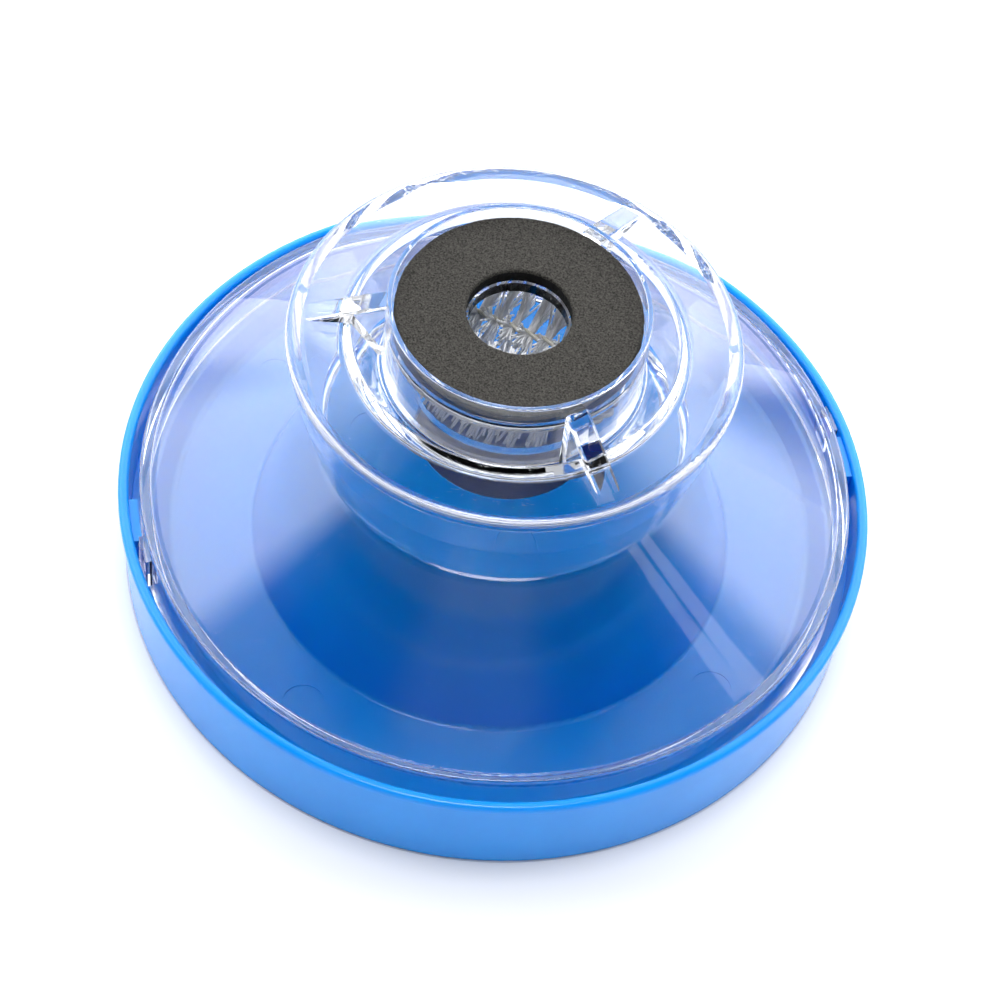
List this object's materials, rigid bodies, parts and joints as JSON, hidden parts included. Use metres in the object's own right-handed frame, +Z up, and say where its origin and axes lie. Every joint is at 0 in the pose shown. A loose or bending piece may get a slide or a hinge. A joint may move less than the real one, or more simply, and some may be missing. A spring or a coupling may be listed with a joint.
{
  "type": "drill dust catcher",
  "caption": "Round tray with a hollow hub, under a clear hourglass cover whose ribbed cap holds a foam ring over a twisted-wire brush.",
  "frame": {"origin": "centre of the circle that the tray's foot ring stands on", "axes": "+Z up along the drilling axis; one of the cap's three ribs points along -X"},
  "size_m": [0.12, 0.12, 0.0626],
  "materials": {
    "tray_plastic": "glossy moulded",
    "clear_plastic": "clear, polished",
    "foam": "closed-cell foam, matt",
    "adhesive": "thin adhesive film",
    "wire": "drawn wire",
    "bristle": "nylon filament"
  },
  "bodies": {
    "tray": {"base_tray": "tray_plastic"},
    "cover": {"clear_cover": "clear_plastic", "top_cap": "clear_plastic", "foam_ring": "foam", "foam_adhesive": "adhesive", "brush_wire": "wire", "brush_bristles": "bristle", "brush_keeper": "clear_plastic"}
  },
  "joints": [
    {"name": "cover_lift", "type": "slide", "parent": "tray", "child": "cover", "axis": [0, 0, 1], "range_m": [0, 0.06]}
  ]
}
